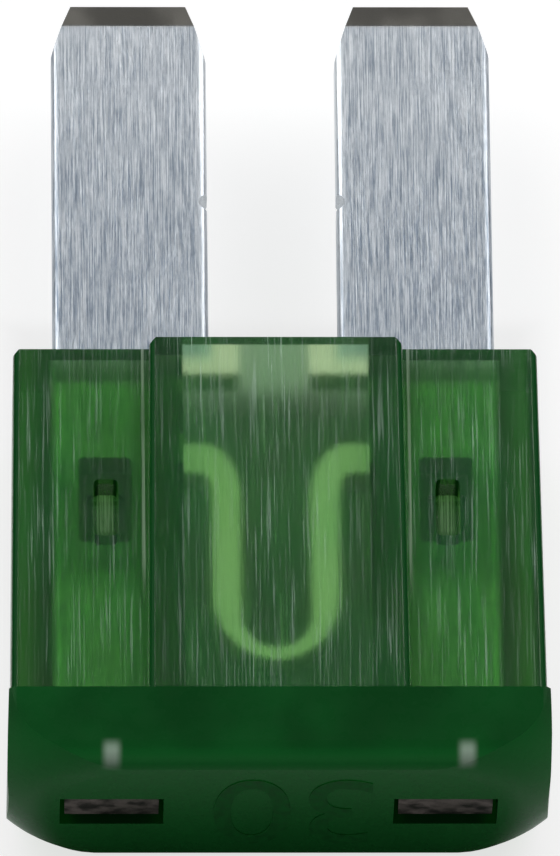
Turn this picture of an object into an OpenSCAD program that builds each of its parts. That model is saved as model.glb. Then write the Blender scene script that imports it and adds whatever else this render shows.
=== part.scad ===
// Two-blade micro automotive fuse: a translucent moulded housing around one stamped metal strip.
// The fuse lies on its broad face: X is its width, +Y points to the blade tips, +Z is its thickness.
// The solids are written standing on the head, with their height along Z, and then laid down.

/* [Head] */
// Width of the head where it is widest
head_w = 9.1; // [9.1:0.1:10]
// Width of the head at the ledge
head_ledge_w = 9.06; // [9.04:0.02:9.1]
// Height at which the head is widest
head_wide_h = 0.7; // [0.5:0.05:0.9]
// Thickness of the head
head_d = 3.8; // [3.7:0.1:4.4]
// Height of the head
head_h = 1.4; // [1.4:0.05:1.8]
// Radius of the head's four upright corners at the ledge
head_corner_r = 0.15; // [0.1:0.05:0.5]
// Radius along the two long rims of the head's outer face
head_rim_r = 0.4; // [0.1:0.05:0.6]
// Radius along the two short rims of the head's outer face
head_end_rim_r = 0.3; // [0.1:0.05:0.6]
// Radius of the bowl that rounds the head's corners towards its outer face
bowl_r = 2.8; // [2.7:0.05:3.2]
// Radius along the rim of that bowl
bowl_rim_r = 1.35; // [0.9:0.05:1.35]
// Distance between the centres of the bowl's two ends
bowl_pitch = 4.8; // [4.6:0.1:5.2]

/* [Body] */
// Height of the body above the head
body_h = 6.65; // [6.2:0.05:8]
// Width of the body at the mouth
body_mouth_w = 8.86; // [8.6:0.02:8.94]
// Width of the body at the head
body_foot_w = 9; // [8.96:0.02:9.1]
// Thickness of the body beside the centre panel
body_d = 2.64; // [2.3:0.02:2.9]
// Chamfer on the body's two corners at the mouth
mouth_corner = 0.1; // [0.05:0.05:0.3]
// Width of the raised centre panel at the mouth
panel_mouth_w = 4.28; // [4:0.02:4.36]
// Width of the raised centre panel at the head
panel_foot_w = 4.4; // [4.38:0.02:4.6]
// Chamfer on each centre panel's two corners at the mouth
panel_corner = 0.12; // [0.06:0.02:0.2]
// Thickness across the two centre panels
panel_d = 3.54; // [3.3:0.02:3.6]
// Radius along the outer edges of the body and the panels
mould_edge_r = 0.12; // [0.04:0.02:0.2]

/* [Fuse chamber] */
// Width of the open chamber behind the centre panels
chamber_w = 3.14; // [2.9:0.02:3.3]
// Thickness of each centre panel's wall
panel_wall = 0.48; // [0.3:0.02:0.7]
// Plastic between the chamber and the head's outer face
chamber_floor = 1.5; // [1.2:0.1:2]

/* [Blade slots] */
// Gap between a blade and each broad wall of its slot
face_gap = 0.04; // [0.02:0.01:0.1]
// Gap between a blade and each narrow wall of its slot
edge_gap = 0.05; // [0.02:0.01:0.1]
// How far the lead-in opens each slot wall at the mouth
lead_in = 0.28; // [0.1:0.02:0.4]
// Depth of the lead-in
lead_in_h = 0.3; // [0.1:0.02:0.5]

/* [Test windows] */
// Thickness of the two windows in the head's outer face
window_d = 0.94; // [0.8:0.02:1.2]
// Depth of a window, down to the blade's shoulders
window_h = 0.9; // [0.6:0.05:1.2]
// Gap between a blade's tongue and the narrow walls of its window
window_gap = 0.08; // [0.04:0.02:0.12]

/* [Blades] */
// Distance between the two blades' centre lines
blade_pitch = 4.85; // [4.7:0.05:5]
// Width of a blade outside the housing
blade_w = 2.65; // [2.4:0.05:2.8]
// Thickness of the strip
blade_t = 0.6; // [0.5:0.02:0.8]
// Length of a blade outside the housing
blade_reach = 7.25; // [6:0.05:9]
// Radius along the blades' long edges
blade_edge_r = 0.12; // [0.04:0.01:0.16]
// Width of a blade inside the housing
shank_w = 2.1; // [2:0.05:2.15]
// Distance between the two tongues' centre lines
tongue_pitch = 5.6; // [5.5:0.05:5.7]
// Width of the tongue that shows in the test window
tongue_w = 1.58; // [1.4:0.02:1.64]
// How far the tongue stays below the head's outer face
tongue_recess = 0.1; // [0:0.05:0.4]

/* [Blade tips] */
// Inset of the tip's side chamfers
tip_inset = 0.34; // [0.2:0.02:0.6]
// Length of the chamfer on a blade's outer side
tip_outer_h = 1.05; // [0.6:0.05:1.6]
// Length of the chamfer on a blade's inner side
tip_inner_h = 1.15; // [0.6:0.05:1.8]
// Length of the bevels on a tip's two broad faces
tip_bevel_h = 0.48; // [0.2:0.02:0.8]
// Thickness left at the very tip
tip_t = 0.2; // [0.1:0.02:0.4]
// Radius of the small notch in a blade's inner edge
notch_r = 0.14; // [0.08:0.02:0.2]
// Distance from the notch to the tip
notch_drop = 3.88; // [3:0.02:5]

/* [Tie-bar stubs] */
// How far the cut tie bar stands out from each blade
stub_w = 0.5; // [0.2:0.05:0.7]
// Height of a stub along the blade
stub_h = 0.64; // [0.5:0.02:1.2]
// How far a stub stands out of the mouth
stub_reach = 0.6; // [0.3:0.05:0.9]

/* [Fusible link] */
// Depth from the mouth to the top of the necks
neck_drop = 1.38; // [1.1:0.02:1.6]
// Height of a neck
neck_h = 0.54; // [0.4:0.01:0.7]
// Clear width between the link's two legs
leg_gap = 1.2; // [1:0.05:1.4]
// Width of a leg
leg_w = 0.47; // [0.3:0.01:0.52]
// Length of the link from the necks' top to the foot of the loop
link_h = 4.06; // [3.4:0.02:4.8]
// Width of the link at the foot of the loop, where it melts
link_foot_w = 0.22; // [0.15:0.01:0.4]
// Height over which the legs' outer edges curve in to the foot of the loop
loop_outer_h = 1.24; // [0.9:0.02:1.6]
// Width of the bend on a neck's inner side
neck_inner_w = 0.22; // [0.1:0.02:0.26]
// Height of the bend on a neck's inner side
neck_inner_h = 0.46; // [0.2:0.02:0.6]
// Width of the bend on a neck's outer side
neck_outer_w = 0.64; // [0.3:0.02:0.8]
// Height of the bend on a neck's outer side
neck_outer_h = 0.96; // [0.4:0.02:1.2]

/* [Stakes] */
// Distance between the two stakes
stake_pitch = 5.76; // [5.6:0.02:5.9]
// Depth from the mouth to the middle of the pits
stake_drop = 3; // [2.6:0.05:4]
// Width of a pit pressed into the housing
pit_w = 0.42; // [0.3:0.02:0.6]
// Height of a pit
pit_h = 1.06; // [0.8:0.02:1.3]
// Depth of a pit
pit_depth = 0.6; // [0.3:0.05:0.75]
// Width of the hole in the blade
hole_w = 0.9; // [0.8:0.05:1]
// Height of the hole in the blade
hole_h = 1.6; // [1.4:0.05:1.7]
// Distance from the middle of the hole down to the middle of the pit
hole_rise = 0.46; // [0.3:0.02:0.5]
// Gap between the pressed-in plastic and the edge of the hole
boss_gap = 0.12; // [0.06:0.02:0.2]
// Gap between the two pressed-in bosses of a hole
boss_split = 0.1; // [0.04:0.02:0.3]
// Corner radius of the pits, the bosses and the holes
stake_r = 0.1; // [0.04:0.02:0.14]

/* [Hidden] */
$fn = 48;
cut = 0.5;                                      // how far a cutter runs past the face it opens
head_lean = (head_w - head_ledge_w) / (head_h - head_wide_h);  // how fast the head widens below the ledge
head_lean_w = head_ledge_w + head_lean * head_h;
mouth_h = head_h + body_h;
fuse_h = mouth_h + blade_reach;
chamber_d = panel_d - 2 * panel_wall;
slot_d = blade_t + 2 * face_gap;
blade_out_x = (blade_pitch + blade_w) / 2;      // outer edge of a blade, in and out of the housing
blade_in_x = (blade_pitch - blade_w) / 2;
shank_in_x = blade_out_x - shank_w;
tongue_x = tongue_pitch / 2;
stub_in_x = blade_in_x - stub_w;
stub_top = mouth_h + stub_reach;
stub_foot = stub_top - stub_h;
shoulder = window_h + edge_gap;                 // where the shank narrows to its tongue
neck_top = mouth_h - neck_drop;
neck_foot = neck_top - neck_h;
leg_in_x = leg_gap / 2;
leg_out_x = leg_in_x + leg_w;
link_foot = neck_top - link_h;
loop_mid = link_foot + link_foot_w + leg_in_x;  // centre of the loop's half round
stake_h = mouth_h - stake_drop;
hole_mid = stake_h + hole_rise;
tip_foot = fuse_h - tip_bevel_h;
notch_mid = fuse_h - notch_drop;
arc_steps = 16;

// Points along an elliptical arc from angle a0 to angle a1
function arc(cx, cy, rx, ry, a0, a1) =
    [for (i = [0 : arc_steps]) let (a = a0 + (a1 - a0) * i / arc_steps) [cx + rx * cos(a), cy + ry * sin(a)]];

// Lays a standing solid down on its broad face, with the middle of its length at the origin
module laid_down() translate([0, -fuse_h / 2, head_d / 2]) rotate([-90, 0, 0]) children();

// Extrudes an outline of width and height through the thickness d
module plate(d) rotate([90, 0, 0]) linear_extrude(d, center = true) children();

// Extrudes a section of width and thickness from height h0 to height h1
module column(h0, h1) translate([0, 0, h0]) linear_extrude(h1 - h0) children();

module both_sides() for (side = [0, 1]) mirror([side, 0, 0]) children();

module rounded(w, d, r) {
    square([w - 2 * r, d], center = true);
    square([w, d - 2 * r], center = true);
    for (x = [-1, 1], y = [-1, 1]) translate([x * (w / 2 - r), y * (d / 2 - r)]) circle(r);
}

// A slab's section, w wide and h high, with both corners at its foot rounded
module footed(w, h, r) {
    translate([-w / 2, r]) square([w, h - r]);
    translate([r - w / 2, 0]) square([w - 2 * r, h]);
    for (x = [-1, 1]) translate([x * (w / 2 - r), r]) circle(r);
}

// A tray with full round ends and a wide rounded rim, which the head's corners follow
module bowl() {
    both_sides() translate([bowl_pitch / 2, 0, 0]) rotate_extrude() intersection() {
        footed(2 * bowl_r, head_h, bowl_rim_r);
        square([bowl_r, head_h]);
    }
    rotate([90, 0, 90]) linear_extrude(bowl_pitch, center = true) footed(2 * bowl_r, head_h, bowl_rim_r);
}

// The head: a block with rounded rims, whose corners turn into full rounds at its outer face
module head() intersection() {
    column(0, head_h) rounded(head_w, head_d, head_corner_r);
    plate(2 * head_d) intersection() {
        footed(head_w, head_h, head_end_rim_r);
        polygon([
            [-head_lean_w / 2, 0], [-head_ledge_w / 2, head_h],
            [head_ledge_w / 2, head_h], [head_lean_w / 2, 0],
        ]);
    }
    rotate([90, 0, 90]) linear_extrude(2 * head_w, center = true) footed(head_d, head_h, head_rim_r);
    bowl();
}

// A block that tapers evenly to the mouth, with rounded long edges and its two mouth corners cut
module drafted_block(foot_w, mouth_w, d, corner) {
    lean = atan((foot_w - mouth_w) / 2 / body_h);
    intersection() {
        drafted_side(foot_w, d, lean);
        mirror([1, 0, 0]) drafted_side(foot_w, d, lean);
        plate(2 * d) polygon([
            [-mouth_w, head_h / 2], [corner - mouth_w, mouth_h - mouth_w / 2], [corner - mouth_w / 2, mouth_h],
            [mouth_w / 2 - corner, mouth_h], [mouth_w - corner, mouth_h - mouth_w / 2], [mouth_w, head_h / 2],
        ]);
    }
}

// One leaning side of such a block, which runs far past the other side
module drafted_side(foot_w, d, lean)
    translate([foot_w / 2, 0, head_h]) rotate([0, -lean, 0])
        column(-head_h, 2 * body_h) translate([-foot_w, 0]) rounded(2 * foot_w, d, mould_edge_r);

module body() {
    drafted_block(body_foot_w, body_mouth_w, body_d, mouth_corner);
    drafted_block(panel_foot_w, panel_mouth_w, panel_d, panel_corner);
}

// The passage for one blade: its slot, which is open to the chamber, the lead-in and the test window
module blade_passage() {
    slot_in_x = shank_in_x - edge_gap;
    slot_out_x = blade_out_x + edge_gap;
    plate(slot_d) {
        translate([slot_in_x, window_h]) square([slot_out_x - slot_in_x, mouth_h + cut - window_h]);
        translate([0, chamber_floor]) square([slot_out_x, mouth_h + cut - chamber_floor]);
    }
    rotate([90, 0, 90]) linear_extrude(slot_out_x) polygon([
        [-slot_d / 2, mouth_h - lead_in_h], [slot_d / 2, mouth_h - lead_in_h],
        [slot_d / 2 + lead_in, mouth_h], [slot_d / 2 + lead_in, mouth_h + cut],
        [-slot_d / 2 - lead_in, mouth_h + cut], [-slot_d / 2 - lead_in, mouth_h],
    ]);
    translate([tongue_x, 0]) column(-cut, window_h)
        square([tongue_w + 2 * window_gap, window_d], center = true);
}

// One pit pressed into a broad face, as the cutter that removes it
module pit() translate([stake_pitch / 2, -body_d / 2 + pit_depth, stake_h])
    rotate([90, 0, 0]) linear_extrude(pit_depth + cut) rounded(pit_w, pit_h, stake_r);

// The plastic that a pit pushed through the slot's wall into the hole of the blade
module boss() {
    foot = hole_mid - hole_h / 2 + boss_gap;
    top = stake_h + pit_h / 2;
    translate([stake_pitch / 2, -boss_split / 2, (foot + top) / 2])
        rotate([90, 0, 0]) linear_extrude(slot_d / 2) rounded(hole_w - 2 * boss_gap, top - foot, stake_r);
}

module housing() color([0.1, 0.42, 0.16]) laid_down() {
    difference() {
        union() {
            head();
            body();
        }
        column(chamber_floor, mouth_h + cut) square([chamber_w, chamber_d], center = true);
        both_sides() {
            blade_passage();
            pit();
            mirror([0, 1, 0]) pit();
        }
    }
    both_sides() {
        boss();
        mirror([0, 1, 0]) boss();
    }
}

// Outline of one blade with its tongue, shank, tie-bar stub, tip and neck
module blade_outline() difference() {
    polygon([
        [tongue_x - tongue_w / 2, tongue_recess], [tongue_x + tongue_w / 2, tongue_recess],
        [tongue_x + tongue_w / 2, shoulder], [blade_out_x, shoulder],
        [blade_out_x, fuse_h - tip_outer_h], [blade_out_x - tip_inset, fuse_h],
        [blade_in_x + tip_inset, fuse_h], [blade_in_x, fuse_h - tip_inner_h],
        [blade_in_x, stub_top], [stub_in_x, stub_top], [stub_in_x, stub_foot],
        [shank_in_x, stub_foot], [shank_in_x, shoulder], [tongue_x - tongue_w / 2, shoulder],
    ]);
    translate([blade_in_x, notch_mid]) circle(notch_r);
    translate([stake_pitch / 2, hole_mid]) rounded(hole_w, hole_h, stake_r);
}

// Half of the link: a neck that bends down into a leg and half of the thinned loop
module link_half_outline() {
    overlap = (shank_w - hole_w) / 4;
    polygon(concat(
        [[shank_in_x + overlap, neck_foot], [shank_in_x + overlap, neck_top]],
        arc(leg_in_x + neck_outer_w, neck_top - neck_outer_h, neck_outer_w, neck_outer_h, 90, 180),
        arc(0, loop_mid, leg_in_x, leg_in_x, 0, -90),
        arc(0, link_foot + loop_outer_h, leg_out_x, loop_outer_h, -90, 0),
        arc(leg_out_x + neck_inner_w, neck_foot - neck_inner_h, neck_inner_w, neck_inner_h, 180, 90)
    ));
}

// Section that rounds the long edges: on both edges of each blade, and on the outer edges below
module edge_sections() {
    column(stub_top, fuse_h) both_sides() translate([blade_pitch / 2, 0]) rounded(blade_w, blade_t, blade_edge_r);
    column(0, stub_top) rounded(2 * blade_out_x, blade_t, blade_edge_r);
}

module fuse_element() color([0.68, 0.7, 0.72]) laid_down() intersection() {
    plate(blade_t) both_sides() {
        blade_outline();
        link_half_outline();
    }
    edge_sections();
    rotate([90, 0, 90]) linear_extrude(2 * head_w, center = true) polygon([
        [-blade_t, 0], [blade_t, 0], [blade_t, tip_foot], [blade_t / 2, tip_foot], [tip_t / 2, fuse_h],
        [-tip_t / 2, fuse_h], [-blade_t / 2, tip_foot], [-blade_t, tip_foot],
    ]);
}

housing();
fuse_element();
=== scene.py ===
"""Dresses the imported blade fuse: clear green housing, plated fuse strip, rating numeral, stage and camera."""

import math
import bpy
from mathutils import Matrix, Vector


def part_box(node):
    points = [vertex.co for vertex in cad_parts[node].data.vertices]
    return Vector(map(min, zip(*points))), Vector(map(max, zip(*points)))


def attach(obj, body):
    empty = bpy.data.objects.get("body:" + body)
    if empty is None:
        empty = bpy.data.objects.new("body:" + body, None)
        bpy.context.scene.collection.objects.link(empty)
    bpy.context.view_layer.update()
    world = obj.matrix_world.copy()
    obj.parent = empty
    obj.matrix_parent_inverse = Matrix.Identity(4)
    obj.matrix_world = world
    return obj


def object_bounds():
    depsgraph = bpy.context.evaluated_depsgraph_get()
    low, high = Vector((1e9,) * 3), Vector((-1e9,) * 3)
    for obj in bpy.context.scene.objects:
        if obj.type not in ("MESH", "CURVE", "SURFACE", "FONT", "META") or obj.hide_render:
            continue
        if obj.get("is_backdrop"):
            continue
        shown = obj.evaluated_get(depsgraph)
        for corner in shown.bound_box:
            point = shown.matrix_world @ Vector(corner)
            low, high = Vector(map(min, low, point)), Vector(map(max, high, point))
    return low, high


bl_info = {
    "name": "Blade fuse dresser",
    "version": (1, 0, 0),
    "blender": (4, 5, 0),
    "location": "View3D > Sidebar > Blade fuse",
    "description": "Finishes of a small automotive blade fuse, with its stage and camera",
    "category": "Object",
}

import bmesh
import bpy
from bpy.props import FloatProperty, FloatVectorProperty, PointerProperty, StringProperty
from mathutils import Matrix, Vector

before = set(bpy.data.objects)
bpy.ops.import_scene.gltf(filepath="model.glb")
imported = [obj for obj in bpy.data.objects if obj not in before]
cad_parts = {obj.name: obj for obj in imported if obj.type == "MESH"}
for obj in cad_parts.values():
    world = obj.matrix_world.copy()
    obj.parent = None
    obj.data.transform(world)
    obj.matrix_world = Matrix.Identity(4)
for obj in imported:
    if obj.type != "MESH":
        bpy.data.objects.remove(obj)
CAD_LOW, CAD_HIGH = (tuple(corner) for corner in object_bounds())

MM = 0.001

# Heights along the fuse, from the head's outer face to the blade tips
HEAD_FACE_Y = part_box("housing")[0].y
LEDGE_Y = HEAD_FACE_Y + 1.4 * MM
STAKE_Y = -2.6 * MM
MOUTH_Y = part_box("housing")[1].y
TIP_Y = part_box("fuse_element")[1].y
NOTCH_Y = TIP_Y - 3.88 * MM
# Distances from the fuse's middle, across its width
BLADE_IN_X = 1.1 * MM
CHAMBER_X = 1.55 * MM
PANEL_HIGHLIGHT_X = 2.245 * MM
STAKE_X = 2.88 * MM
# Place of the two glints painted on the head's rim as painted highlights
GLINT_X = 2.97 * MM
GLINT_SHIFT = 0.15 * MM
# The strip's middle plane
MIDDLE = (CAD_LOW[2] + CAD_HIGH[2]) / 2


def add_node(tree, kind, **settings):
    """Adds one shader node and sets its named properties."""
    made = tree.nodes.new(kind)
    for name, value in settings.items():
        setattr(made, name, value)
    return made


def plug(tree, socket, value):
    """Links a socket to another socket, or gives it a plain number or colour."""
    if isinstance(value, bpy.types.NodeSocket):
        tree.links.new(value, socket)
    elif isinstance(value, (int, float)):
        socket.default_value = value
    else:
        socket.default_value = (*value, 1)


def shader(tree, kind, sockets):
    """Adds a shader node whose sockets are given by name."""
    made = add_node(tree, kind)
    for name, value in sockets.items():
        plug(tree, made.inputs[name], value)
    return made.outputs[0]


def blend(tree, share, first, second):
    """Mixes two shaders, where a share of 1 is all of the second."""
    made = add_node(tree, "ShaderNodeMixShader")
    for socket, value in zip(made.inputs, (share, first, second)):
        plug(tree, socket, value)
    return made.outputs["Shader"]


def colour_mix(tree, share, first, second):
    """Mixes two colours, where a share of 1 is all of the second."""
    made = add_node(tree, "ShaderNodeMix", data_type="RGBA")
    for name, value in (("Factor", share), ("A", first), ("B", second)):
        plug(tree, made.inputs[name], value)
    return made.outputs["Result"]


def tone(colour, share):
    """A colour times one share, or times a share each for red, green and blue, but never above white."""
    shares = [share] * 3 if isinstance(share, (int, float)) else share
    return [min(1.0, part * times) for part, times in zip(colour, shares)]


def grain(tree, pitch, detail=3.0, roughness=0.55):
    """Noise whose cells have the given pitch along X, Y and Z, in metres."""
    coordinates = add_node(tree, "ShaderNodeTexCoord")
    scaled = add_node(tree, "ShaderNodeMapping")
    scaled.inputs["Scale"].default_value = [1 / p for p in pitch]
    tree.links.new(coordinates.outputs["Object"], scaled.inputs["Vector"])
    noise = add_node(tree, "ShaderNodeTexNoise")
    noise.inputs["Scale"].default_value = 1.0
    noise.inputs["Detail"].default_value = detail
    noise.inputs["Roughness"].default_value = roughness
    tree.links.new(scaled.outputs["Vector"], noise.inputs["Vector"])
    return noise.outputs["Fac"]


def along(tree, axis, kind="Object"):
    """One axis of the place on the object in metres, or of another kind of coordinate."""
    coordinates = add_node(tree, "ShaderNodeTexCoord")
    parts = add_node(tree, "ShaderNodeSeparateXYZ")
    tree.links.new(coordinates.outputs[kind], parts.inputs["Vector"])
    return parts.outputs[axis]


def calculate(tree, operation, *values):
    """A Math node on sockets or plain numbers."""
    step = add_node(tree, "ShaderNodeMath", operation=operation)
    for socket, value in zip(step.inputs, values):
        plug(tree, socket, value)
    return step.outputs["Value"]


def away(tree, value, middle=0.0):
    """How far a value is from a middle, on either side."""
    if middle:
        value = calculate(tree, "SUBTRACT", value, middle)
    return calculate(tree, "ABSOLUTE", value)


def spread(tree, value, low, high, to_low=0.0, to_high=1.0):
    """Maps a value's range to another, clamped and smooth."""
    ramp = add_node(tree, "ShaderNodeMapRange", interpolation_type="SMOOTHSTEP")
    sockets = ("Value", value), ("From Min", low), ("From Max", high), ("To Min", to_low), ("To Max", to_high)
    for name, number in sockets:
        plug(tree, ramp.inputs[name], number)
    return ramp.outputs["Result"]


def fade(tree, value, near, far):
    """A mask that is 1 up to the near value and 0 from the far one on."""
    return spread(tree, value, near, far, 1.0, 0.0)


def all_of(tree, *masks):
    """The product of masks, which is high only where each of them is."""
    product, *others = masks
    for mask in others:
        product = calculate(tree, "MULTIPLY", product, mask)
    return product


def any_of(tree, *masks):
    """The highest of several masks."""
    highest, *others = masks
    for mask in others:
        highest = calculate(tree, "MAXIMUM", highest, mask)
    return highest


def bump(tree, height, depth):
    """A half-strength bump of the given depth, in metres."""
    return shader(tree, "ShaderNodeBump", {"Height": height, "Distance": depth, "Strength": 0.5})


def arrange(tree, output):
    """Sets the nodes out in columns, each to the left of all that it feeds."""
    columns = {output.name: 0}
    waiting = [output]
    while waiting:
        fed = waiting.pop()
        for link in (link for socket in fed.inputs for link in socket.links):
            feeder = link.from_node
            if columns.get(feeder.name, -1) <= columns[fed.name]:
                columns[feeder.name] = columns[fed.name] + 1
                waiting.append(feeder)
    rows = {}
    for name, column in columns.items():
        rows[column] = rows.get(column, -1) + 1
        tree.nodes[name].location = (-220 * column, -300 * rows[column])


def new_material(name):
    """Makes an empty node material."""
    material = bpy.data.materials.new(name)
    material.use_nodes = True
    material.node_tree.nodes.clear()
    return material, material.node_tree


def close_tree(tree, surface, volume=None, kind="ShaderNodeOutputMaterial"):
    """Adds a node tree's output and lays the tree out."""
    output = add_node(tree, kind)
    tree.links.new(surface, output.inputs["Surface"])
    if volume:
        tree.links.new(volume, output.inputs["Volume"])
    arrange(tree, output)


def dull(tree, colour):
    """A plain dull shader."""
    return shader(tree, "ShaderNodeBsdfDiffuse", {"Color": colour})


def clear_wall(tree, settings, marks, patches):
    """Clear plastic with milky scratches, in patches and all over the middle."""
    worn = any_of(
        tree, spread(tree, patches, 0.35, 0.7, 0.3, 1.0), fade(tree, away(tree, along(tree, "X")), 0.2 * MM, 0.9 * MM)
    )
    scratch = all_of(tree, spread(tree, marks, 0.53, 0.67), worn)
    return shader(tree, "ShaderNodeBsdfPrincipled", {
        "Base Color": settings.body_colour,
        "IOR": settings.ior,
        "Transmission Weight": calculate(tree, "MULTIPLY_ADD", scratch, -settings.scratch_haze, 1.0),
        "Roughness": calculate(tree, "MULTIPLY_ADD", scratch, 0.08, settings.body_roughness),
        "Normal": bump(tree, marks, 0.004 * MM),
    })


def painted_dark_edges(tree):
    """Mask of the rounded upright edges, which lean to neither the broad faces nor the sides, where painted shade
    replaces their glint.
    """
    lean = away(tree, along(tree, "X", "Normal"))
    edge = all_of(tree, spread(tree, lean, 0.06, 0.2), fade(tree, lean, 0.75, 0.9))
    return calculate(tree, "MULTIPLY", edge, 0.95)


def pressed_stakes(tree, marks):
    """Mask of the whitened plastic that the stakes pressed in."""
    height = along(tree, "Y")
    return all_of(
        tree,
        fade(tree, away(tree, away(tree, along(tree, "X")), STAKE_X), 0.10 * MM, 0.16 * MM),
        fade(tree, away(tree, along(tree, "Z"), MIDDLE), 1.1 * MM, 1.2 * MM),
        spread(tree, height, STAKE_Y - 0.3 * MM, STAKE_Y - 0.1 * MM),
        fade(tree, height, STAKE_Y + 0.55 * MM, STAKE_Y + 0.65 * MM),
        spread(tree, marks, 0.4, 0.6, 0.2, 0.9),
    )


def painted_panel_highlights(tree, marks):
    """Mask of the painted highlight lines at the foot of the centre panel, which end above the head."""
    return all_of(
        tree,
        fade(tree, away(tree, away(tree, along(tree, "X")), PANEL_HIGHLIGHT_X), 0.015 * MM, 0.035 * MM),
        spread(tree, along(tree, "Z", "Normal"), 0.9, 0.95),
        spread(tree, along(tree, "Y"), -4.6 * MM, -3.2 * MM),
        spread(tree, marks, 0.35, 0.6, 0.35, 0.9),
    )


def clear_body(tree, settings):
    """Clear moulded walls with a green haze and fine marks along the fuse, painted shade on the rounded edges,
    whitened spots at the stakes and painted highlight lines beside the panel.
    """
    marks = grain(tree, (0.035 * MM, 2.0 * MM, 0.035 * MM), 4.0, 0.65)
    patches = grain(tree, (0.9 * MM, 2.5 * MM, 0.9 * MM), 2.0, 0.5)
    haze = spread(tree, patches, 0.3, 0.75, 0.6 * settings.haze, 1.4 * settings.haze)
    body = blend(tree, haze, clear_wall(tree, settings, marks, patches), dull(tree, settings.haze_colour))
    # Painted shade: the rounded upright edges get the head's dull dark green in place of the glint they would show
    body = blend(tree, painted_dark_edges(tree), body, dull(tree, settings.head_colour))
    # Whitened plastic at the stakes, and painted highlight lines beside the panel
    white = any_of(tree, pressed_stakes(tree, marks), painted_panel_highlights(tree, marks))
    return blend(tree, white, body, dull(tree, settings.stake_and_highlight_colour))


def painted_glints(tree):
    """Mask of the two painted glints on the head's rim, pale spots that stand in for lamp highlights."""
    beside = away(tree, along(tree, "X"), GLINT_SHIFT)
    return all_of(
        tree,
        fade(tree, away(tree, beside, GLINT_X), 0.04 * MM, 0.21 * MM),
        spread(tree, along(tree, "Z"), 3.4 * MM, 3.7 * MM),
        fade(tree, along(tree, "Y"), HEAD_FACE_Y + 0.2 * MM, HEAD_FACE_Y + 0.48 * MM),
    )


def deep_head(tree, settings):
    """Thick plastic of the head, so deep in colour that nothing shows through, with painted light on its outer face
    and rim and two painted glints.
    """
    clouds = spread(tree, grain(tree, [1.8 * MM] * 3, 2.0, 0.5), 0.3, 0.7)
    colour = colour_mix(tree, clouds, tone(settings.head_colour, 0.8), tone(settings.head_colour, 1.2))
    # Painted light: the outer face and its rim are painted a lighter green, more of it higher up, standing in for
    # light that glows through the plastic
    off_face = fade(tree, along(tree, "Y", "Normal"), -0.9, 0.0)
    painted_rim_glow = all_of(tree, off_face, spread(tree, along(tree, "Z"), 0.3 * MM, CAD_HIGH[2], 0.45, 0.9))
    colour = colour_mix(tree, painted_rim_glow, colour, settings.rim_glow_colour)
    dust = grain(tree, [0.3 * MM] * 3, 4.0, 0.6)
    return shader(tree, "ShaderNodeBsdfPrincipled", {
        # Painted highlight: two pale glints are painted over the rim's colour
        "Base Color": colour_mix(tree, painted_glints(tree), colour, settings.glint_colour),
        "Roughness": spread(tree, dust, 0.3, 0.8, settings.head_roughness, settings.head_roughness + 0.1),
        "Specular IOR Level": settings.head_gloss,
    })


def let_lamps_through(tree, surface):
    """Mixes in a clear shader for lamp and scattered rays, so that light reaches what lies inside the plastic."""
    path = add_node(tree, "ShaderNodeLightPath")
    either = any_of(tree, path.outputs["Is Shadow Ray"], path.outputs["Is Diffuse Ray"])
    return blend(tree, either, surface, shader(tree, "ShaderNodeBsdfTransparent", {"Color": (0.80, 0.92, 0.80)}))


def clear_green_plastic(settings):
    """Clear green moulding: a deep glossy head, and a clear body with a haze of fine marks."""
    material, tree = new_material("clear_green_plastic")
    on_body = spread(tree, along(tree, "Y"), LEDGE_Y - 0.02 * MM, LEDGE_Y + 0.12 * MM)
    whole = blend(tree, on_body, deep_head(tree, settings), clear_body(tree, settings))
    tint = shader(tree, "ShaderNodeVolumeAbsorption", {"Color": settings.tint, "Density": settings.density})
    close_tree(tree, let_lamps_through(tree, whole), tint)
    return material


def numeral_ink(settings):
    """Dull dark green of the raised numeral."""
    material, tree = new_material("numeral_green")
    worn = grain(tree, [0.15 * MM] * 3, 3.0, 0.5)
    shade = spread(tree, worn, 0.3, 0.7)
    close_tree(tree, shader(tree, "ShaderNodeBsdfPrincipled", {
        "Base Color": colour_mix(tree, shade, tone(settings.rim_glow_colour, 0.45), tone(settings.rim_glow_colour, 0.65)),
        "Roughness": spread(tree, worn, 0.3, 0.7, 0.4, 0.55),
        "Specular IOR Level": settings.head_gloss,
    }))
    return material


def rolled_colour(tree, settings, rolled, inside, height):
    """Plating colour with rolling marks, and painted light that makes it brighter towards the tips and inside the
    housing.
    """
    brightness = any_of(
        tree, calculate(tree, "MULTIPLY", inside, 0.64), spread(tree, height, 2 * MM, TIP_Y, 0.34, 0.52)
    )
    streak = calculate(tree, "SUBTRACT", spread(tree, rolled, 0.34, 0.66), 0.5)
    share = calculate(tree, "MULTIPLY_ADD", streak, 0.75, brightness)
    return colour_mix(tree, share, tone(settings.metal, (0.28, 0.34, 0.42)), tone(settings.metal, 1.32))


def notch_dark_patch(tree, height, beside):
    """Round mask of a dark patch painted around the notch on each blade's inner edge."""
    up = calculate(tree, "SUBTRACT", height, NOTCH_Y)
    out = calculate(tree, "SUBTRACT", beside, BLADE_IN_X)
    squared = calculate(tree, "MULTIPLY_ADD", up, up, calculate(tree, "MULTIPLY", out, out))
    return fade(tree, squared, (0.10 * MM) ** 2, (0.14 * MM) ** 2)


def shaded_tongue(tree, settings):
    """Dark brown metal of the tongues in the test windows: the cut metal's tone, darkened further as painted shade."""
    worn = spread(tree, grain(tree, (0.4 * MM, 0.4 * MM, 0.25 * MM)), 0.35, 0.65)
    return colour_mix(tree, worn, tone(settings.cut_metal, 0.06), tone(settings.cut_metal, (0.5, 0.44, 0.46)))


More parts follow.
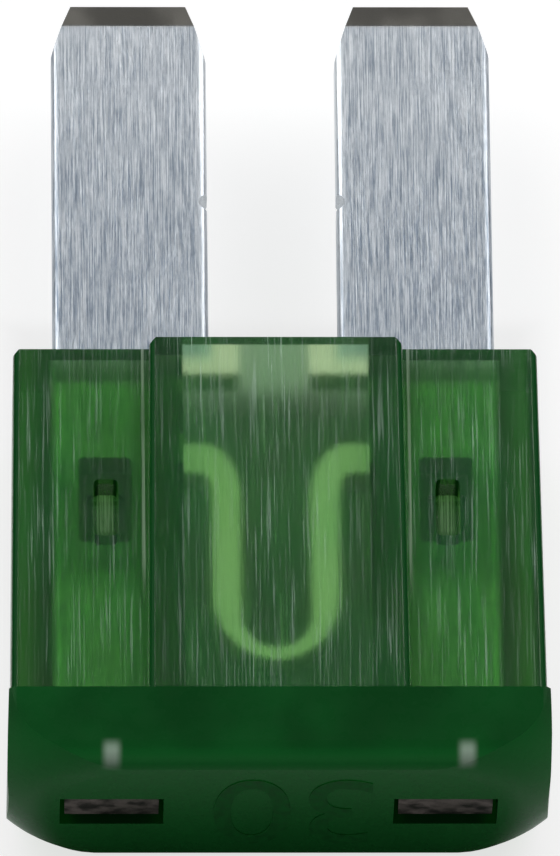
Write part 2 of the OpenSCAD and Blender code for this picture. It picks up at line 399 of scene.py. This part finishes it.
def plated_strip(settings):
    """Plated metal with rolling marks, duller at the link and dark at the cut tips; painted shade beside the chamber,
    at the stakes and on the tongue ends, a painted dark patch at each notch, and painted highlights on the inner
    edges.
    """
    material, tree = new_material("plated_strip")
    marks = grain(tree, (0.022 * MM, 1.2 * MM, 0.022 * MM), 4.0, 0.7)
    flecks = grain(tree, (0.07 * MM, 0.3 * MM, 0.07 * MM), 3.0, 0.6)
    clouds = grain(tree, (1.2 * MM, 2.0 * MM, 1.2 * MM), 2.0, 0.5)
    rolled = calculate(tree, "MULTIPLY_ADD", flecks, 0.2, calculate(tree, "MULTIPLY", marks, 0.8))
    height = along(tree, "Y")
    beside = away(tree, along(tree, "X"))
    inside = fade(tree, height, MOUTH_Y + 0.1 * MM, MOUTH_Y + 0.4 * MM)
    at_link = any_of(
        tree, all_of(tree, inside, fade(tree, beside, CHAMBER_X, CHAMBER_X + 0.1 * MM)),
        fade(tree, beside, BLADE_IN_X - 0.06 * MM, BLADE_IN_X - 0.02 * MM),
    )
    chamber_shade = all_of(
        tree, spread(tree, beside, CHAMBER_X, CHAMBER_X + 0.1 * MM), fade(tree, beside, 2.1 * MM, 2.6 * MM), inside
    )
    stake_shade = all_of(
        tree, inside, spread(tree, away(tree, height, STAKE_Y), 0.6 * MM, 1.5 * MM, 0.6, 0.0),
        spread(tree, beside, 1.4 * MM, 1.7 * MM),
    )
    # Painted highlight: a lighter band along each blade's inner edge, stronger towards the tips
    painted_edge_highlight = all_of(
        tree, spread(tree, beside, BLADE_IN_X + 0.04 * MM, BLADE_IN_X + 0.24 * MM, 0.55, 0.0),
        spread(tree, height, 0.8 * MM, 5 * MM, 0.3, 1.0), calculate(tree, "SUBTRACT", 1.0, at_link),
    )
    colour = rolled_colour(tree, settings, rolled, inside, height)
    for share, over in (
        (at_link, settings.link_metal),
        (chamber_shade, tone(settings.metal, 0.4)),
        (stake_shade, tone(settings.metal, (0.02, 0.3, 0.02))),
        (painted_edge_highlight, tone(settings.metal, 1.45)),
        (notch_dark_patch(tree, height, beside), tone(settings.cut_metal, 0.1)),
        (spread(tree, height, TIP_Y - 0.53 * MM, TIP_Y - 0.42 * MM), settings.cut_metal),
        (fade(tree, height, HEAD_FACE_Y + 0.15 * MM, HEAD_FACE_Y + 0.3 * MM), shaded_tongue(tree, settings)),
    ):
        colour = colour_mix(tree, share, colour, over)
    rough = spread(tree, clouds, 0.35, 0.65, settings.metal_roughness - 0.06, settings.metal_roughness + 0.06)
    close_tree(tree, shader(tree, "ShaderNodeBsdfPrincipled", {
        "Base Color": colour,
        "Metallic": 1.0,
        "Roughness": calculate(tree, "MULTIPLY_ADD", at_link, 0.1, rough),
        "Normal": bump(tree, rolled, 0.01 * MM),
    }))
    return material


def pale_floor(settings):
    """Pale floor, bright to the camera and in reflections, with a painted shadow that darkens it under the fuse and in
    front of the head.
    """
    material, tree = new_material("pale_floor")
    height = along(tree, "Y")
    past_mouth = calculate(
        tree, "ADD", spread(tree, height, MOUTH_Y + 0.6 * MM, MOUTH_Y + 0.9 * MM, 0.0, 0.4),
        spread(tree, height, MOUTH_Y + 1.9 * MM, MOUTH_Y + 2.4 * MM, 0.0, 0.6),
    )
    # Painted shadow: away from this mask the floor is painted darker, and reflections and views through the plastic
    # get no lift there
    outside_painted_shadow = any_of(
        tree, fade(tree, height, HEAD_FACE_Y - 3 * MM, HEAD_FACE_Y - 0.5 * MM), past_mouth,
        spread(tree, away(tree, along(tree, "X")), 3.6 * MM, 5.0 * MM),
    )
    paint = dull(tree, colour_mix(tree, outside_painted_shadow, tone(settings.floor_colour, 0.45), settings.floor_colour))
    path = add_node(tree, "ShaderNodeLightPath")
    mirrored = any_of(tree, path.outputs["Is Glossy Ray"], path.outputs["Is Transmission Ray"])
    seen = any_of(tree, path.outputs["Is Camera Ray"], all_of(tree, mirrored, outside_painted_shadow))
    lift = shader(
        tree, "ShaderNodeEmission", {"Strength": calculate(tree, "MULTIPLY", seen, settings.floor_lift)}
    )
    both = add_node(tree, "ShaderNodeAddShader")
    for socket, light in zip(both.inputs, (paint, lift)):
        plug(tree, socket, light)
    close_tree(tree, both.outputs["Shader"])
    return material


class FusePlastic(bpy.types.PropertyGroup):
    """Finish of the clear green housing."""

    tint: FloatVectorProperty(
        name="Tint", description="Colour that the plastic lets through", subtype="COLOR",
        default=(0.33, 0.65, 0.10), min=0, max=1,
    )
    density: FloatProperty(name="Density", description="Strength of the tint, for each metre", default=1750.0)
    ior: FloatProperty(name="IOR", description="How strongly the plastic bends light", default=1.58)
    head_gloss: FloatProperty(name="Head gloss", description="How strongly the head's surface mirrors", default=0.05)
    # The head colour is also painted on the body's rounded upright edges as painted shade
    head_colour: FloatVectorProperty(
        name="Head colour", description="Deep green that the thick head and the moulded edges show", subtype="COLOR",
        default=(0.005, 0.072, 0.0135), min=0, max=1,
    )
    # Painted light: lighter green painted on the head's outer face and rim, brighter towards the top; the numeral
    # takes darker tones of it
    rim_glow_colour: FloatVectorProperty(
        name="Rim colour", description="Lighter green where light leaves the head's rim", subtype="COLOR",
        default=(0.014, 0.19, 0.036), min=0, max=1,
    )
    # Painted highlight: pale green of the two glints painted on the head's rim
    glint_colour: FloatVectorProperty(
        name="Rub marks", description="Pale green of the two rub marks on the head's rim", subtype="COLOR",
        default=(0.34, 0.46, 0.36), min=0, max=1,
    )
    body_colour: FloatVectorProperty(
        name="Body colour", description="Pale haze of the thin body's faces", subtype="COLOR",
        default=(0.85, 1.0, 0.95), min=0, max=1,
    )
    haze_colour: FloatVectorProperty(
        name="Haze colour", description="Green of the haze in the body", subtype="COLOR",
        default=(0.03, 0.42, 0.12), min=0, max=1,
    )
    # Also painted as the highlight lines beside the centre panel
    stake_and_highlight_colour: FloatVectorProperty(
        name="Stake", description="Pale grey of the pressed plastic at the stakes and of the lines beside the panel",
        subtype="COLOR", default=(0.30, 0.38, 0.30), min=0, max=1,
    )
    haze: FloatProperty(name="Haze", description="Share of the haze in the body", default=0.08)
    head_roughness: FloatProperty(name="Head roughness", description="Roughness of the glossy head", default=0.25)
    body_roughness: FloatProperty(name="Body roughness", description="Roughness of the body faces", default=0.2)
    scratch_haze: FloatProperty(name="Scratch haze", description="White of the scratches", default=0.25)


class FuseMetal(bpy.types.PropertyGroup):
    """Finish of the plated strip."""

    metal: FloatVectorProperty(
        name="Plating", description="Colour of the plating", subtype="COLOR",
        default=(0.555, 0.58, 0.60), min=0, max=1,
    )
    link_metal: FloatVectorProperty(
        name="Link", description="Colour of the melting link and the stubs", subtype="COLOR",
        default=(0.92, 0.79, 0.75), min=0, max=1,
    )
    cut_metal: FloatVectorProperty(
        name="Cut metal", description="Colour of the bevelled tips, and of the darker cut ends", subtype="COLOR",
        default=(0.32, 0.31, 0.28), min=0, max=1,
    )
    metal_roughness: FloatProperty(name="Roughness", description="Roughness of the plating", default=0.38)


class FuseNumeral(bpy.types.PropertyGroup):
    """Plain rating numeral that stands out from the head's outer face."""

    digits: StringProperty(name="Digits", description="Rating in amperes", default="30")
    width: FloatProperty(name="Width", description="Width of the numeral", default=2.65 * MM, unit="LENGTH")
    height: FloatProperty(name="Height", description="Height of the numeral", default=2.4 * MM, unit="LENGTH")
    shift: FloatProperty(
        name="Shift", description="Distance of the numeral from the middle", default=0.235 * MM, unit="LENGTH"
    )
    relief: FloatProperty(name="Relief", description="How far digits stand out", default=0.015 * MM, unit="LENGTH")
    sunk: FloatProperty(name="Sunk", description="Depth of the digits' roots", default=0.01 * MM, unit="LENGTH")


class FuseStage(bpy.types.PropertyGroup):
    """Floor, lamps and camera."""

    floor_colour: FloatVectorProperty(
        name="Floor", description="Colour of the floor", subtype="COLOR", default=(0.45, 0.45, 0.45), min=0, max=1,
    )
    floor_lift: FloatProperty(name="Floor lift", description="Brightness that the floor adds", default=0.72)
    side_light: FloatProperty(
        name="Side light", description="Light that each side lamp gives the object, in W/m2", default=1.5
    )
    side_height: FloatProperty(
        name="Side height", description="Elevation of the side lamps", subtype="ANGLE", default=math.radians(44.5)
    )
    side_turn: FloatProperty(
        name="Side turn", description="Turn of the side lamps towards the blade tips", subtype="ANGLE",
        default=math.radians(40),
    )
    head_light: FloatProperty(
        name="Head light", description="Light that the lamp on the head's side gives the object, in W/m2", default=0.3
    )
    head_lamp_height: FloatProperty(
        name="Head lamp height", description="Elevation of the lamp on the head's side", subtype="ANGLE",
        default=math.radians(32),
    )
    lamp_size: FloatProperty(name="Lamp size", description="Side of the square lamps", default=0.7, unit="LENGTH")
    lamp_distance: FloatProperty(name="Lamp distance", description="Distance of the lamps", default=1.0, unit="LENGTH")
    fill_light: FloatProperty(name="Fill light", description="Brightness of the room", default=0.06)
    camera_tilt: FloatProperty(
        name="Tilt", description="Camera's lean from the broad face towards the head", subtype="ANGLE",
        default=math.radians(27.2),
    )
    camera_turn: FloatProperty(
        name="Turn", description="Camera's turn to the left", subtype="ANGLE", default=math.radians(1.56)
    )
    camera_roll: FloatProperty(
        name="Roll", description="Camera's roll about its own axis", subtype="ANGLE", default=math.radians(0.70)
    )
    camera_distance: FloatProperty(name="Distance", description="Camera's distance", default=0.3, unit="LENGTH")
    camera_lens: FloatProperty(name="Lens", description="Focal length in mm on a 36 mm sensor", default=744.1)
    camera_aim: FloatVectorProperty(
        name="Aim", description="Point in the middle of the picture", subtype="TRANSLATION",
        default=(0.103 * MM, -0.42 * MM, MIDDLE),
    )


class FUSE_OT_finish_housing(bpy.types.Operator):
    """Gives the housing its clear green plastic"""

    bl_idname = "fuse.finish_housing"
    bl_label = "Finish the housing"

    def execute(self, context):
        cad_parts["housing"].material_slots[0].material = clear_green_plastic(context.scene.fuse_plastic)
        return {"FINISHED"}


class FUSE_OT_finish_strip(bpy.types.Operator):
    """Gives the fuse strip its plated finish"""

    bl_idname = "fuse.finish_strip"
    bl_label = "Finish the fuse strip"

    def execute(self, context):
        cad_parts["fuse_element"].material_slots[0].material = plated_strip(context.scene.fuse_metal)
        return {"FINISHED"}


class FUSE_OT_raise_numeral(bpy.types.Operator):
    """Raises the rating numeral on the head's outer face"""

    bl_idname = "fuse.raise_numeral"
    bl_label = "Raise the numeral"

    def execute(self, context):
        mesh = numeral_mesh(context.scene.fuse_numeral)
        if not mesh.vertices:
            raise RuntimeError("the numeral has no digits")
        mesh.materials.clear()
        mesh.materials.append(numeral_ink(context.scene.fuse_plastic))
        numeral = bpy.data.objects.new("rating_numeral", mesh)
        context.scene.collection.objects.link(numeral)
        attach(numeral, "root")
        return {"FINISHED"}


def numeral_mesh(settings):
    """The digits as thin blocks on the outer face, read with the back of the fuse upwards."""
    digits = bpy.data.curves.new("digits", "FONT")
    digits.body = settings.digits
    digits.extrude = 0.5
    holder = bpy.data.objects.new("digits", digits)
    mesh = bpy.data.meshes.new_from_object(holder)
    bpy.data.objects.remove(holder)
    bpy.data.curves.remove(digits)
    if not mesh.vertices:
        return mesh
    low = Vector([min(v.co[axis] for v in mesh.vertices) for axis in range(3)])
    high = Vector([max(v.co[axis] for v in mesh.vertices) for axis in range(3)])
    size = high - low
    middle = (low + high) / 2
    depth = settings.relief + settings.sunk
    for v in mesh.vertices:
        across, up, out = v.co - middle
        v.co = (
            settings.shift - across / size.x * settings.width,
            HEAD_FACE_Y + settings.sunk - (out / size.z + 0.5) * depth,
            MIDDLE - up / size.y * settings.height,
        )
    return mesh


class FUSE_OT_set_stage(bpy.types.Operator):
    """Builds the floor, the lamps, the room light and the camera"""

    bl_idname = "fuse.set_stage"
    bl_label = "Set the stage"

    def execute(self, context):
        settings = context.scene.fuse_stage
        lay_floor(context.scene, settings)
        light_room(context.scene, settings)
        for name, turn, height, light in (
            ("right_lamp", settings.side_turn, settings.side_height, settings.side_light),
            ("left_lamp", math.pi - settings.side_turn, settings.side_height, settings.side_light),
            ("head_lamp", -math.pi / 2, settings.head_lamp_height, settings.head_light),
        ):
            hang_lamp(context.scene, settings, name, turn, height, light)
        place_camera(context.scene, settings)
        context.scene.view_settings.view_transform = "Standard"
        return {"FINISHED"}


def lay_floor(scene, settings):
    """A wide pale floor, a hair below the fuse."""
    mesh = bpy.data.meshes.new("floor")
    outline = bmesh.new()
    bmesh.ops.create_circle(outline, cap_ends=True, segments=64, radius=1.5)
    outline.to_mesh(mesh)
    outline.free()
    mesh.materials.append(pale_floor(settings))
    floor = bpy.data.objects.new("floor", mesh)
    floor.location.z = CAD_LOW[2] - 0.02 * MM
    scene.collection.objects.link(floor)
    floor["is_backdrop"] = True


def light_room(scene, settings):
    """Dim room light, with a white backdrop low down where it is seen directly."""
    world = bpy.data.worlds.new("room")
    scene.world = world
    world.use_nodes = True
    tree = world.node_tree
    tree.nodes.clear()
    path = add_node(tree, "ShaderNodeLightPath")
    seen = any_of(tree, *(path.outputs[f"Is {kind} Ray"] for kind in ("Camera", "Glossy", "Transmission")))
    white = all_of(tree, fade(tree, along(tree, "Z", "Generated"), 0.03, 0.06), seen)
    strength = calculate(tree, "MULTIPLY_ADD", white, 1.0 - settings.fill_light, settings.fill_light)
    close_tree(tree, shader(tree, "ShaderNodeBackground", {"Strength": strength}), kind="ShaderNodeOutputWorld")


def hang_lamp(scene, settings, name, turn, height, light):
    """One softbox over the fuse, whose turn goes from +X towards the blade tips."""
    lamp = bpy.data.lights.new(name, "AREA")
    lamp.shape = "SQUARE"
    lamp.size = settings.lamp_size
    lamp.energy = light * math.pi * settings.lamp_distance**2
    hung = bpy.data.objects.new(name, lamp)
    scene.collection.objects.link(hung)
    toward = Vector((math.cos(height) * math.cos(turn), math.cos(height) * math.sin(turn), math.sin(height)))
    hung.location = toward * settings.lamp_distance
    hung.rotation_euler = toward.to_track_quat("Z", "Y").to_euler()
    hung.visible_camera = False


def place_camera(scene, settings):
    """The long lens that looks down on the broad face, from the head's side."""
    tilt, turn, roll = settings.camera_tilt, settings.camera_turn, settings.camera_roll
    back = Vector((-math.sin(turn) * math.cos(tilt), -math.sin(tilt), math.cos(turn) * math.cos(tilt)))
    right = Vector((math.cos(turn), 0, math.sin(turn)))
    up = back.cross(right)
    axes = Matrix((
        right * math.cos(roll) - up * math.sin(roll),
        up * math.cos(roll) + right * math.sin(roll),
        back,
    )).transposed()
    lens = bpy.data.cameras.new("camera")
    lens.lens = settings.camera_lens
    camera = bpy.data.objects.new("camera", lens)
    scene.collection.objects.link(camera)
    stand = Vector(settings.camera_aim) + back * settings.camera_distance
    camera.matrix_world = Matrix.Translation(stand) @ axes.to_4x4()
    scene.camera = camera


class FUSE_PT_dresser(bpy.types.Panel):
    """Lists the fuse's finishes and its stage"""

    bl_label = "Blade fuse"
    bl_space_type = "VIEW_3D"
    bl_region_type = "UI"
    bl_category = "Blade fuse"

    def draw(self, context):
        for step in STEPS:
            self.layout.operator(step.bl_idname)


SETTINGS = {
    "fuse_plastic": FusePlastic,
    "fuse_metal": FuseMetal,
    "fuse_numeral": FuseNumeral,
    "fuse_stage": FuseStage,
}
STEPS = (FUSE_OT_finish_housing, FUSE_OT_finish_strip, FUSE_OT_raise_numeral, FUSE_OT_set_stage)


def register():
    for kind in (*SETTINGS.values(), *STEPS, FUSE_PT_dresser):
        bpy.utils.register_class(kind)
    for name, kind in SETTINGS.items():
        setattr(bpy.types.Scene, name, PointerProperty(type=kind))


def unregister():
    for name in SETTINGS:
        delattr(bpy.types.Scene, name)
    for kind in reversed((*SETTINGS.values(), *STEPS, FUSE_PT_dresser)):
        bpy.utils.unregister_class(kind)


def main():
    register()
    bpy.ops.fuse.finish_housing()
    bpy.ops.fuse.finish_strip()
    bpy.ops.fuse.raise_numeral()
    bpy.ops.fuse.set_stage()


if __name__ == "__main__":
    main()
